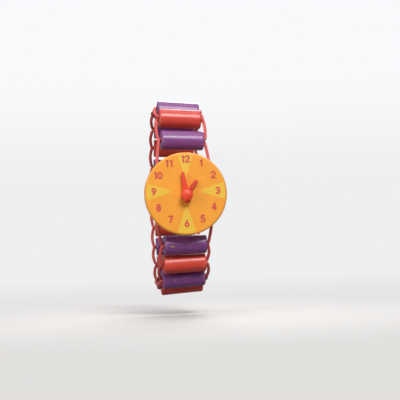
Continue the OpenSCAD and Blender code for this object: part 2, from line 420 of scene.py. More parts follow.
@dataclass(frozen=True)
class ElasticCover(Finish):
    """The braided thread cover of an elastic cord, laid out along the cord by its own map."""

    light: Colour
    deep: Colour
    strands: int = 4
    fuzz_scale: float = 5200
    cloud_scale: float = 240

    def dress(self, bench: NodeBench, shader: bpy.types.Node) -> None:
        """Feeds the braid's colour, gloss and relief.

        Args:
            bench: The bench of the finish's material.
            shader: Its shader.
        """
        layout = bench.parts(bench.add("ShaderNodeUVMap", uv_map=BRAID_MAP).outputs[0])
        around = bench.number("MULTIPLY", layout[1], 2 * math.pi * self.strands)
        run = bench.number("MULTIPLY", layout[0], 2 * math.pi)
        right = bench.number("SINE", bench.number("ADD", around, run))
        left = bench.number("SINE", bench.number("SUBTRACT", around, run))
        over = bench.step(bench.number("MULTIPLY", right, left), -0.15, 0.15)
        upper = bench.number("MULTIPLY", bench.number("ABSOLUTE", right), over)
        below = bench.number("SUBTRACT", 1.0, over)
        under = bench.number("MULTIPLY", bench.number("ABSOLUTE", left), below)
        strand = bench.number("ADD", upper, under)
        place = bench.place()
        fuzz = bench.mottle(place, self.fuzz_scale, 4, 0.7)
        # Darker where the strands dip and cross under one another: painted shade in the braid's grooves,
        # mixed with a random tone.
        tone = bench.weigh(strand, 0.45, bench.mottle(place, self.cloud_scale, 3), 0.55)
        colour = bench.blend(bench.step(tone, 0.22, 0.78), self.deep, self.light)
        weave = bench.relief(strand, 0.09 * MM, 0.6)
        bench.feed(shader, {"Base Color": colour, "Roughness": bench.spread(fuzz, 0.42, 0.62),
                            "Normal": bench.relief(fuzz, 0.03 * MM, 0.3, weave),
                            "Sheen Weight": 0.25, "Sheen Roughness": 0.4})


@dataclass(frozen=True)
class BareWood(Finish):
    """Sanded wood with growth rings and pores."""

    light: Colour
    deep: Colour
    bend_scale: float = 130
    fibre_scale: float = 2600
    pore_scale: float = 5200
    ring_rate: float = 5580
    ring_sway: float = 55.8

    def dress(self, bench: NodeBench, shader: bpy.types.Node) -> None:
        """Feeds the wood's colour, gloss and relief.

        Args:
            bench: The bench of the finish's material.
            shader: Its shader.
        """
        place = bench.place()
        along = bench.scaled(place, 0.08, 1.0, 1.0)
        bend = bench.mottle(along, self.bend_scale, 3)
        depth = bench.weigh(bench.parts(along)[1], self.ring_rate, bend, self.ring_sway)
        ring = bench.spread(bench.number("SINE", depth), 0.0, 1.0)
        fibre = bench.mottle(along, self.fibre_scale, 4, 0.6)
        tone = bench.weigh(ring, 0.25, fibre, 0.75)
        drawn = bench.scaled(place, 0.05, 1.0, 1.0)
        pore = bench.step(bench.mottle(drawn, self.pore_scale, 2), 0.60, 0.70)
        wood = bench.blend(bench.step(tone, 0.25, 0.78), self.light, self.deep)
        colour = bench.blend(bench.number("MULTIPLY", pore, 0.5), wood, self.deep)
        grain = bench.relief(fibre, 0.05 * MM, 0.35)
        pitted = bench.relief(bench.number("SUBTRACT", 1.0, pore), 0.06 * MM, 0.4, grain)
        bench.feed(shader, {"Base Color": colour, "Roughness": bench.spread(fibre, 0.58, 0.74),
                            "Normal": pitted})


# The third colour of each lacquer is the pale colour of scuffs and of the end-edge band, which is partly a
# painted highlight.
PURPLE = Lacquer("purple_lacquer", "bead_purple",
                 srgb(134, 70, 136), srgb(118, 59, 122), srgb(190, 160, 198))
RED = Lacquer("red_lacquer", "bead_red", srgb(220, 72, 53), srgb(206, 60, 46), srgb(242, 160, 140))
# The third colour is the pale edge band: rubbed paint and a painted rim highlight.
ORANGE = DialPaint("orange_paint", "dial_orange",
                   srgb(246, 162, 42), srgb(241, 155, 38), srgb(250, 198, 118))
YELLOW_INK = Ink("yellow_ink", "dial_orange", srgb(238, 192, 58), srgb(234, 184, 54), srgb(244, 160, 42))
RED_INK = Ink("red_ink", "dial_orange", srgb(206, 60, 56), srgb(216, 82, 70), srgb(206, 60, 56))
HAND_RED = HandPlastic("hand_plastic", "hand_red", srgb(238, 74, 36), srgb(228, 63, 30))
# The hour hand is the same red plastic painted darker: painted shade for the hand that lies lower, under
# the minute hand.
SHADED_HOUR_RED = HandPlastic("hour_plastic_painted_shade", "hand_red", srgb(216, 66, 28), srgb(206, 57, 24))
ELASTIC = ElasticCover("braided_elastic", "elastic_red", srgb(228, 96, 90), srgb(204, 74, 71))
BLOCK_WOOD = BareWood("sanded_wood", "bare_wood", srgb(214, 182, 132), srgb(176, 136, 88))


def grid_mesh(name: str, points: np.ndarray, faces: list[tuple[int, ...]]) -> Mesh:
    """Makes a mesh of a grid of points.

    Args:
        name: The mesh's name.
        points: The points, by row, place in the row and coordinate.
        faces: The numbers of each face's points, counted along the rows.

    Returns:
        The mesh.
    """
    mesh = bpy.data.meshes.new(name)
    mesh.from_pydata(points.reshape(-1, 3).tolist(), [], [tuple(int(i) for i in face) for face in faces])
    return mesh


def sheet_mesh(name: str, rows: np.ndarray, loop_rows: bool = False, caps: bool = False) -> Mesh:
    """Skins rows of points, each row a closed ring.

    Args:
        name: The mesh's name.
        rows: The points, by row, place in the row and coordinate.
        loop_rows: Whether the last row joins the first.
        caps: Whether the first and the last row are closed with a face.

    Returns:
        The mesh, with smooth faces that look outwards.
    """
    count, sides = rows.shape[:2]
    index = np.arange(count * sides).reshape(count, sides)
    faces = []
    for r in range(count if loop_rows else count - 1):
        low, high = index[r], index[(r + 1) % count]
        faces += [(low[k], low[(k + 1) % sides], high[(k + 1) % sides], high[k]) for k in range(sides)]
    if caps:
        faces += [tuple(index[0]), tuple(index[-1])]
    mesh = grid_mesh(name, rows, faces)
    work = bmesh.new()
    work.from_mesh(mesh)
    bmesh.ops.recalc_face_normals(work, faces=work.faces)
    work.to_mesh(mesh)
    work.free()
    mesh.shade_smooth()
    return mesh


def thicken(mesh: Mesh, depth: float) -> None:
    """Gives an open sheet a back and sides.

    Args:
        mesh: The sheet.
        depth: How far back its back lies, along -Z.
    """
    work = bmesh.new()
    work.from_mesh(mesh)
    fronts = list(work.faces)
    brinks = [edge.verts for edge in work.edges if edge.is_boundary]
    backs = {corner: work.verts.new(corner.co - Vector((0, 0, depth))) for corner in list(work.verts)}
    for first, second in brinks:
        work.faces.new((first, second, backs[second], backs[first]))
    for face in fronts:
        work.faces.new([backs[corner] for corner in face.verts])
    bmesh.ops.recalc_face_normals(work, faces=work.faces)
    work.to_mesh(mesh)
    work.free()


def store(mesh: Mesh, name: str, values: np.ndarray) -> None:
    """Stores one number or vector per vertex for the finishes to read.

    Args:
        mesh: The mesh.
        name: The attribute's name.
        values: One number or one vector per vertex.
    """
    vector = values.ndim == 2
    made = mesh.attributes.new(name, "FLOAT_VECTOR" if vector else "FLOAT", "POINT")
    made.data.foreach_set("vector" if vector else "value", values.astype(np.float32).ravel())


def points_of(mesh: Mesh) -> np.ndarray:
    """Reads a mesh's points.

    Args:
        mesh: The mesh.

    Returns:
        The points as one array.
    """
    found = np.zeros(len(mesh.vertices) * 3, np.float32)
    mesh.vertices.foreach_get("co", found)
    return found.reshape(-1, 3).astype(float)


def lay_pattern(mesh: Mesh, seed: int) -> None:
    """Stores where the finish's pattern lies on a mesh.

    Args:
        mesh: The mesh.
        seed: A number that gives the mesh a stretch of the pattern of its own.
    """
    if PLACE in mesh.attributes:
        mesh.attributes.remove(mesh.attributes[PLACE])
    store(mesh, PLACE, points_of(mesh) + PATTERN_STEP * seed)


def make_piece(mesh: Mesh, finish: Finish, matrix: Matrix | None = None, seed: int = 0) -> Piece:
    """Makes a piece of a mesh, with its finish.

    Args:
        mesh: The mesh, in its own frame.
        finish: Its finish.
        matrix: Where that frame lies in the model. Left out, the mesh is in the model's frame.
        seed: A number that gives the piece a stretch of the finish's pattern of its own.

    Returns:
        The piece.
    """
    lay_pattern(mesh, seed)
    mesh.materials.append(material_of(finish))
    piece = bpy.data.objects.new(mesh.name, mesh)
    bpy.context.scene.collection.objects.link(piece)
    if matrix is not None:
        piece.matrix_world = matrix
    return piece


def settle(piece: Piece, body: str, *nodes: str) -> Piece:
    """Lets a piece ride on a body and stand for nodes.

    Args:
        piece: The piece.
        body: The body that carries it.
        nodes: The nodes that it stands for.

    Returns:
        The piece.
    """
    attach(piece, body)
    if nodes:
        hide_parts(*nodes)
    return piece


def revolve(profile: Sequence[Point], segments: int, upright: bool = False) -> np.ndarray:
    """Turns a profile round its axis.

    Args:
        profile: Places along the axis, each with a radius.
        segments: The number of steps round.
        upright: Whether the axis is Z and not X.

    Returns:
        The points as rows.
    """
    turn = np.linspace(0, 2 * np.pi, segments, endpoint=False)
    outline = np.array(profile, float)
    rows = np.zeros((len(outline), segments, 3))
    rows[:, :, 0] = outline[:, :1]
    rows[:, :, 1] = outline[:, 1:] * np.cos(turn)
    rows[:, :, 2] = outline[:, 1:] * np.sin(turn)
    return rows[:, :, [1, 2, 0]] if upright else rows


def arc(centre: Point, radius: float, start: float, end: float, steps: int) -> list[Point]:
    """Points of an arc.

    Args:
        centre: The arc's centre.
        radius: Its radius.
        start: The angle it starts at, in degrees.
        end: The angle it ends at, in degrees.
        steps: The number of steps.

    Returns:
        The points.
    """
    angles = [math.radians(start + (end - start) * k / steps) for k in range(steps + 1)]
    return [(centre[0] + radius * math.cos(a), centre[1] + radius * math.sin(a)) for a in angles]


def facing(place: Vector) -> Matrix:
    """A frame on the dial's face, with X to the right, Y up to twelve and Z out of the dial."""
    return Matrix.Translation(place) @ Matrix(((1, 0, 0), (0, 0, -1), (0, 1, 0))).to_4x4()


@dataclass(frozen=True)
class Seat:
    """The place of a bore: its centre, and the ways along it, along the loop and out of the loop."""

    centre: Vector
    along: Vector
    way: Vector
    out: Vector
    half_length: float

    def at(self, along: float, way: float, out: float) -> Vector:
        """A point that far from the seat's centre."""
        return self.centre + along * self.along + way * self.way + out * self.out

    def matrix(self) -> Matrix:
        """The seat's own frame, with X along the bore."""
        turned = Matrix((self.along, self.way, self.out)).transposed().to_4x4()
        return Matrix.Translation(self.centre) @ turned


@dataclass(frozen=True)
class Blemish:
    """A worn place on a bead, by its distance from the middle and its angle up from the front."""

    bead: int
    mark: Mark
    along: float
    angle: float
    length: float
    width: float


WORN_PLACES = (
    Blemish(17, Mark.CHIP, -5.7 * MM, -10, 0.95 * MM, 0.50 * MM),
    Blemish(17, Mark.SCUFF, 6.2 * MM, 32, 2.2 * MM, 1.3 * MM),
    Blemish(17, Mark.SCUFF, 1.4 * MM, -6, 0.7 * MM, 0.4 * MM),
    Blemish(17, Mark.SCUFF, -8.3 * MM, 5, 0.6 * MM, 2.2 * MM),
    Blemish(15, Mark.SCUFF, -3.9 * MM, -12, 0.6 * MM, 0.7 * MM),
    Blemish(15, Mark.SCUFF, -0.4 * MM, 2, 0.9 * MM, 0.35 * MM),
    Blemish(15, Mark.SCUFF, -6.9 * MM, 40, 1.0 * MM, 1.8 * MM),
    Blemish(15, Mark.SCUFF, 7.9 * MM, 25, 0.9 * MM, 1.6 * MM),
    Blemish(2, Mark.SCUFF, 5.8 * MM, 20, 1.7 * MM, 0.8 * MM),
    Blemish(2, Mark.SCUFF, -7.6 * MM, 25, 0.9 * MM, 0.5 * MM),
    Blemish(1, Mark.SCUFF, 7.7 * MM, 16, 0.8 * MM, 0.8 * MM),
    Blemish(3, Mark.SCUFF, 0.5 * MM, 20, 1.8 * MM, 0.5 * MM),
    Blemish(16, Mark.SCUFF, -6.5 * MM, 25, 1.6 * MM, 0.5 * MM),
)


@dataclass
class Bead:
    """One cylinder bead, turned, drilled and dipped.

    The rim's line, spread and ring are shares of the rounded edge.
    """

    number: int
    seat: Seat
    finish: Lacquer
    radius: float = 3.9 * MM
    edge: float = 0.7 * MM
    ease: float = 0.3 * MM
    dish: float = 0.02 * MM
    dish_ring: float = 0.35 * MM
    mouth_depth: float = 0.05 * MM
    segments: int = 80
    steps: int = 60
    bore_steps: int = 6
    skew: float = 0.02
    skewed_end: float = 2 * MM
    swell: float = 0.014 * MM
    swell_scale: float = 260
    swell_shift: Triple = (7.1, 3.3, 5.7)
    chip_depth: float = 0.06 * MM
    chip_start: float = 0.35
    worn_end: float = 0.25 * MM
    # The strength of the pale band round each end edge, partly rubbed lacquer and partly a painted
    # highlight.
    rim_wear: float = 0.45
    rim_line: float = 0.25
    rim_spread: float = 0.3
    rim_ring: float = 1.5

    def profile(self) -> list[Point]:
        """The closed outline of one half section, out along the outside and back through the bore.

        Returns:
            Places along the bead, each with a radius.
        """
        half = self.seat.half_length
        flat = half - self.edge
        shoulder = self.radius - self.edge
        outside = [(flat * (2 * k / self.steps - 1), self.radius) for k in range(self.steps + 1)]
        corner = arc((flat, shoulder), self.edge, 90, 0, 8)
        face = [(half - self.dish * k, shoulder - self.dish_ring * k) for k in range(1, 4)]
        mouth = arc((half - self.mouth_depth - self.ease, BORE_RADIUS + self.ease), self.ease, 0, -90, 5)
        right = outside[:-1] + corner + face + mouth
        shares = [1 - k / self.bore_steps for k in range(1, self.bore_steps)]
        hole = [((half - self.ease) * share, BORE_RADIUS) for share in shares]
        left = [(-x, r) for x, r in reversed(corner[1:] + face + mouth)]
        return right + hole + [(-x, r) for x, r in reversed(hole)] + left[:-1]

    def blemishes(self, mark: Mark) -> list[Blemish]:
        """The bead's worn places of one kind, those given and those drawn at its ends.

        Args:
            mark: The kind.

        Returns:
            The worn places.
        """
        draw = np.random.default_rng(100 + self.number)
        places = [b for b in WORN_PLACES if b.bead == self.number and b.mark is mark]
        for _ in range(mark.count):
            end = draw.choice((-1, 1)) * (self.seat.half_length - self.worn_end)
            size = draw.uniform(mark.least, mark.most) * MM
            angle = draw.uniform(-180, 180)
            places.append(Blemish(self.number, mark, end, angle, size, size * draw.uniform(1, 2)))
        return places

    def wear(self, points: np.ndarray, mark: Mark) -> np.ndarray:
        """How worn each point is, from 0 to 1; scuffs add a pale band round the end edges that is partly a
        painted highlight.

        Args:
            points: The points in the bead's frame.
            mark: The kind of wear.

        Returns:
            One number per point.
        """
        turned = self.seat.matrix().to_3x3().transposed()
        front = np.array(turned @ Vector((0, -1, 0)))
        upward = np.array(turned @ Vector((0, 0, 1)))
        turn = np.arctan2(points @ upward, points @ front)
        worn_and_highlight = np.zeros(len(points))
        for place in self.blemishes(mark):
            away = np.angle(np.exp(1j * (turn - math.radians(place.angle)))) * self.radius
            near = ((points[:, 0] - place.along) / place.length) ** 2 + (away / place.width) ** 2
            worn_and_highlight = np.maximum(worn_and_highlight, np.exp(-near))
        # A pale band round each end edge: partly rubbed lacquer, partly a painted highlight on the rounded
        # edge.
        if mark is Mark.SCUFF:
            brink = np.abs(points[:, 0]) - self.seat.half_length + self.rim_line * self.edge
            worn_and_highlight = np.maximum(worn_and_highlight, self.rim_wear * np.exp(-(brink / (self.rim_spread * self.edge)) ** 2))
        return worn_and_highlight * (np.hypot(points[:, 1], points[:, 2]) > self.radius - self.rim_ring * self.edge)

    def build(self) -> Piece:
        """Makes the bead.

        Returns:
            The piece.
        """
        rows = revolve(self.profile(), self.segments)
        points = rows.reshape(-1, 3)
        skew = np.random.default_rng(self.number).uniform(-self.skew, self.skew, 2)
        inside = np.abs(points[:, 0]) - self.seat.half_length + self.skewed_end
        slant = points[:, 1] * skew[0] + points[:, 2] * skew[1]
        shift = slant * np.sign(points[:, 0]) * np.clip(inside / self.skewed_end, 0, 1)
        start = Vector(self.swell_shift) * self.number
        swell = np.array([noise.noise(Vector(p) * self.swell_scale + start) for p in points])
        radial = np.hypot(points[:, 1], points[:, 2])
        outer = np.clip((radial - BORE_RADIUS - self.ease) / self.ease, 0, 1)
        chip = self.wear(points, Mark.CHIP)
        sunk = self.chip_depth * np.clip(chip - self.chip_start, 0, 0.5) * 2
        grow = 1 + outer * (self.swell * swell - sunk) / radial
        points[:, 1:] *= grow[:, None]
        points[:, 0] += shift
        mesh = sheet_mesh(f"wooden_bead_{self.number:02d}", points.reshape(rows.shape), loop_rows=True)
        store(mesh, Mark.CHIP.attribute, chip)
        store(mesh, Mark.SCUFF.attribute, self.wear(points, Mark.SCUFF))
        piece = make_piece(mesh, self.finish, self.seat.matrix(), self.number)
        node = f"bead_{self.number:02d}"
        return settle(piece, node, node)


@dataclass
class Lacing:
    """The elastic cord: two passes in each bore and a run on each side of each gap.

    The seats are those of the block's upper bore, the beads and the block's lower bore, and upper is the
    number of beads in the upper half of the row.
    """

    seats: list[Seat]
    upper: int
    radius: float = 0.65 * MM
    pass_offset: float = 0.7 * MM
    bend: float = 0.95 * MM
    tuck: float = 1.2 * MM
    bow: float = 0.7 * MM
    slack: float = 5.5 * MM
    run_steps: int = 12
    pass_steps: int = 8
    easing: int = 6
    sides: int = 20
    fine: float = 0.12 * MM
    coarse: float = 0.7 * MM
    askew: Triple = (0.31, 0.77, -0.55)
    lay: float = 2.2 * MM
    braid_depth: float = 0.035 * MM
    knot_side: int = 1
    knot_bend: float = 1.67 * MM
    closing_seed: int = 40
    dial_seed: int = 41

    @staticmethod
    def layer(gap: int, side: int) -> int:
        """1 where a gap's run on that side joins outer passes, and -1 where it joins inner ones."""
        return side if gap % 2 == 0 else -side

    def corner(self, seat: Seat, side: int, heading: int, layer: int, bend: float) -> list[Vector]:
        """The cord's way out of a bore and round to run along the loop.

        Args:
            seat: The bore.
            side: 1 on the right and -1 on the left.
            heading: 1 up the row and -1 down it.
            layer: 1 for the outer pass and -1 for the inner one.
            bend: The bend's radius.

        Returns:
            Points from inside the bore to where the bend ends.
        """
        depth = layer * self.pass_offset
        points = [seat.at(side * (seat.half_length - self.tuck * k / 3), 0, depth) for k in (3, 2, 1)]
        for angle in range(0, 91, ROUND_STEP):
            turn = math.radians(angle)
            along = side * (seat.half_length + bend * math.sin(turn))
            points.append(seat.at(along, heading * bend * (1 - math.cos(turn)), depth))
        return points

    def run(self, first: int, second: int, gap: int, side: int, bend: float | None = None) -> list[Vector]:
        """The run across one gap, from inside one bore to inside the next.

        Args:
            first: The bore that it leaves.
            second: The bore that it enters.
            gap: The gap's number, which says which pass is the outer one.
            side: 1 on the right and -1 on the left.
            bend: The bends' radius, where it isn't the usual one.

        Returns:
            Points along the run.
        """
        bend = bend or self.bend
        heading = 1 if second > first else -1
        layer = self.layer(gap, side)
        start = self.corner(self.seats[first], side, heading, layer, bend)
        end = self.corner(self.seats[second], side, -heading, layer, bend)[::-1]
        outwards = side * (self.seats[first].along + self.seats[second].along).normalized()
        length = (end[0] - start[-1]).length
        between = []
        for k in range(1, self.run_steps):
            share = k / self.run_steps
            lift = self.bow * math.sin(math.pi * share) * min(1.0, self.slack / length)
            between.append(start[-1].lerp(end[0], share) + lift * outwards)
        return start + between + end

    def through(self, number: int, side: int, layer: int, start: np.ndarray) -> np.ndarray:
        """The pass through a bore, from the side that the cord comes in at.

        Args:
            number: The bore.
            side: That side.
            layer: 1 for the outer pass and -1 for the inner one.
            start: The end of the run that it goes on from.

        Returns:
            Points along the pass.
        """
        seat = self.seats[number]
        reach = side * (seat.half_length - self.tuck)
        shares = [1 - 2 * k / self.pass_steps for k in range(1, self.pass_steps + 1)]
        inside = [seat.at(reach * share, 0, layer * self.pass_offset) for share in shares]
        return self.smooth([Vector(start), *inside], self.coarse)

    def smooth(self, route: list[Vector], step: float) -> np.ndarray:
        """Spaces points evenly along a route and eases its corners.

        Args:
            route: The points.
            step: The spacing.

        Returns:
            The new points.
        """
        points = np.array(route, float)
        lengths = self.lengths(points)
        places = np.linspace(0, lengths[-1], max(4, round(lengths[-1] / step)))
        line = np.stack([np.interp(places, lengths, points[:, k]) for k in range(3)], axis=1)
        for _ in range(self.easing):
            line[1:-1] = (line[:-2] + 2 * line[1:-1] + line[2:]) / 4
        return line

    @staticmethod
    def lengths(line: np.ndarray) -> np.ndarray:
        """How far along a line each of its points lies."""
        return np.concatenate([[0], np.cumsum(np.linalg.norm(np.diff(line, axis=0), axis=1))])

    def rings(self, line: np.ndarray, thin: float) -> list[np.ndarray]:
        """The rings that a line is skinned from, each raised where a strand of the braid crosses.

        Args:
            line: The line.
            thin: The cord's thickness over the usual one.

        Returns:
            One ring of points for each point of the line.
        """
        turn = np.arange(self.sides) * 2 * np.pi / self.sides
        ways = np.gradient(line, axis=0)
        ways /= np.linalg.norm(ways, axis=1)[:, None]
        across = np.cross(ways[0], self.askew)
        made = []
        for place, way, run in zip(line, ways, self.lengths(line) / self.lay):
            across = across - way * (across @ way)
            across /= np.linalg.norm(across)
            up = np.cross(way, across)
            right = np.sin(ELASTIC.strands * turn + 2 * np.pi * run)
            left = np.sin(ELASTIC.strands * turn - 2 * np.pi * run)
            size = self.radius * thin - self.braid_depth * (1 - np.abs(right * left))
            spokes = np.cos(turn)[:, None] * across + np.sin(turn)[:, None] * up
            made.append(place + size[:, None] * spokes)
        return made

    def tube(self, name: str, lines: Sequence[np.ndarray], thin: float = 1.0) -> Mesh:
        """Skins lines with braided cord.

        Args:
            name: The mesh's name.
            lines: The lines.
            thin: The cord's thickness over the usual one.

        Returns:
            One mesh, with the braid's map.
        """
        joined = bmesh.new()
        layout = joined.loops.layers.uv.new(BRAID_MAP)
        for line in lines:
            lays = self.lengths(line) / self.lay
            rings = [[joined.verts.new(p) for p in ring] for ring in self.rings(line, thin)]
            for r in range(len(rings) - 1):
                low, high = rings[r], rings[r + 1]
                for k in range(self.sides):
                    after = (k + 1) % self.sides
                    face = joined.faces.new((low[k], low[after], high[after], high[k]))
                    corners = ((r, k), (r, k + 1), (r + 1, k + 1), (r + 1, k))
                    for loop, (row, column) in zip(face.loops, corners):
                        loop[layout].uv = (lays[row], column / self.sides)
            for end in (rings[0], rings[-1]):
                joined.faces.new(end)
        bmesh.ops.recalc_face_normals(joined, faces=joined.faces)
        mesh = bpy.data.meshes.new(name)
        joined.to_mesh(mesh)
        joined.free()
        mesh.shade_smooth()
        return mesh

    def body(self, number: int) -> str:
        """The body that carries a bore's cord."""
        return HEAD if number in (0, len(self.seats) - 1) else f"lacing_{number:02d}"

    def span(self, piece: Piece, first: int, second: int, node: str) -> Piece:
        """Bakes a piece's place into its mesh and lets it stand for a node.

        Args:
            piece: The piece.
            first: The bore that it leaves.
            second: The bore that it enters.
            node: The node.

        Returns:
            The piece.
        """
        kept = (self.bend + self.radius / 2) * (1 if second > first else -1)
        start = self.seats[first].at(0, kept, 0)
        end = self.seats[second].at(0, -kept, 0)
        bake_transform(piece)
        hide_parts(node)
        return piece

    def build_link(self, number: int) -> Piece:
        """Makes a bead's two passes, with the runs to its neighbour on the dial's side.

        Args:
            number: The bead.

        Returns:
            The piece.
        """
        first, gap = (number - 1, number) if number <= self.upper else (number + 1, number + 1)
        lines = []
        for side in (-1, 1):
            run = self.smooth(self.run(first, number, gap, side), self.fine)
            lines += [run, self.through(number, side, self.layer(gap, side), run[-1])]
        piece = make_piece(self.tube(f"elastic_{number:02d}", lines), ELASTIC, seed=number)
        return self.span(piece, first, number, f"cord_{number:02d}")

    def build_behind_dial(self) -> Piece:
        """Makes the passes in the block behind the dial and the runs between them.

        Returns:
            The piece.
        """
        top, bottom = 0, len(self.seats) - 1
        lines = []
        for side in (-1, 1):
            start = self.corner(self.seats[top], side, -1, side, self.bend)
            end = self.corner(self.seats[bottom], side, 1, -side, self.bend)[::-1]
            run = self.smooth(start + end, self.fine)
            lines += [run, self.through(top, side, side, run[0])]
            lines.append(self.through(bottom, side, -side, run[-1]))
        piece = make_piece(self.tube("elastic_behind_dial", lines), ELASTIC, seed=self.dial_seed)
        return settle(piece, HEAD, "cord_dial")

    def closing_run(self, side: int, bend: float) -> list[Vector]:
        """One of the two runs at the back that close the loop."""
        return self.run(self.upper, self.upper + 1, self.upper + 1, side, bend)

    def build_closing(self) -> Piece:
        """Makes the two runs at the back that close the loop.

        Returns:
            The piece.
        """
        bends = ((self.knot_side, self.knot_bend), (-self.knot_side, self.bend))
        lines = [self.smooth(self.closing_run(side, bend), self.fine) for side, bend in bends]
        piece = make_piece(self.tube("elastic_closing", lines), ELASTIC, seed=self.closing_seed)
        return self.span(piece, self.upper, self.upper + 1, "cord_closing")


@dataclass
class Knot:
    """The knot of the cord: tight turns round a closing run, with both ends left short.

    A tail is given by how far it points outwards, across the run and along it.
    """

    lacing: Lacing
    turns: float = 2.0
    wrap: float = 0.9 * MM
    rise: float = 1.25 * MM
    steps: int = 48
    spacing: float = 0.15 * MM
    thin: float = 0.78
    tail: float = 2.6 * MM
    tail_steps: int = 8
    first_tail: Triple = (0.75, -0.6, -0.35)
    last_tail: Triple = (0.6, 0.7, 0.3)
    seed: int = 42

    def build(self) -> Piece:
        """Makes the knot.

        Returns:
            The piece.
        """
        lacing = self.lacing
        low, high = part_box("cord_knot")
        centre = (low + high) / 2
        route = lacing.closing_run(lacing.knot_side, lacing.knot_bend)
        nearest = min(range(1, len(route) - 1), key=lambda k: (route[k] - centre).length)
        way = (route[nearest + 1] - route[nearest - 1]).normalized()
        outwards = lacing.knot_side * lacing.seats[lacing.upper].along
        outwards = (outwards - way * outwards.dot(way)).normalized()
        across = way.cross(outwards)
        wound = []
        for k in range(self.steps + 1):
            share = k / self.steps
            angle = 2 * math.pi * self.turns * share
            spot = outwards * math.cos(angle) + across * math.sin(angle)
            wound.append(centre + self.wrap * spot + way * self.rise * (share - 0.5))
        ways = Matrix((outwards, across, way)).transposed()
        first, last = (ways @ Vector(tail) * self.tail for tail in (self.first_tail, self.last_tail))
        shares = [k / self.tail_steps for k in range(1, self.tail_steps + 1)]
        line = [wound[0] + first * share for share in reversed(shares)] + wound
        line += [wound[-1] + last * share for share in shares]
        tied = lacing.tube("elastic_knot", [lacing.smooth(line, self.spacing)], self.thin)
        return settle(make_piece(tied, ELASTIC, seed=self.seed), "knot", "cord_knot")


# The strokes of each digit as centre lines, in a box of height 1 that stands on 0
STROKES: dict[str, list[list[Point]]] = {
    "0": [[(0.24 * x, 0.5 + 0.40 * y) for x, y in arc((0, 0), 1, 0, 360, 40)]],
    "1": [[(-0.13, 0.78), (0.05, 0.90)], [(0.05, 0.90), (0.05, 0.10)]],
    "2": [arc((0, 0.67), 0.23, 172, -38, 20), [(0.18, 0.53), (-0.21, 0.10)], [(-0.21, 0.10), (0.25, 0.10)]],
    "3": [arc((0, 0.70), 0.20, 155, -75, 20), arc((0, 0.32), 0.22, 75, -155, 22),
          [(-0.04, 0.515), (0.05, 0.515)]],
    "4": [[(0.10, 0.90), (-0.27, 0.31)], [(-0.27, 0.31), (0.29, 0.31)], [(0.11, 0.90), (0.11, 0.10)]],
    "5": [[(0.21, 0.90), (-0.13, 0.90)], [(-0.13, 0.90), (-0.18, 0.55)],
          arc((0, 0.34), 0.24, 132, -140, 22)],
    "6": [arc((0, 0.33), 0.23, 0, 360, 30), [(0.09, 0.90), (-0.20, 0.44)]],
    "7": [[(-0.24, 0.90), (0.24, 0.90)], [(0.24, 0.90), (-0.07, 0.10)]],
    "8": [arc((0, 0.70), 0.20, 0, 360, 30), arc((0, 0.31), 0.215, 0, 360, 30)],
    "9": [arc((0, 0.67), 0.23, 0, 360, 30), [(-0.09, 0.10), (0.20, 0.56)]],
}


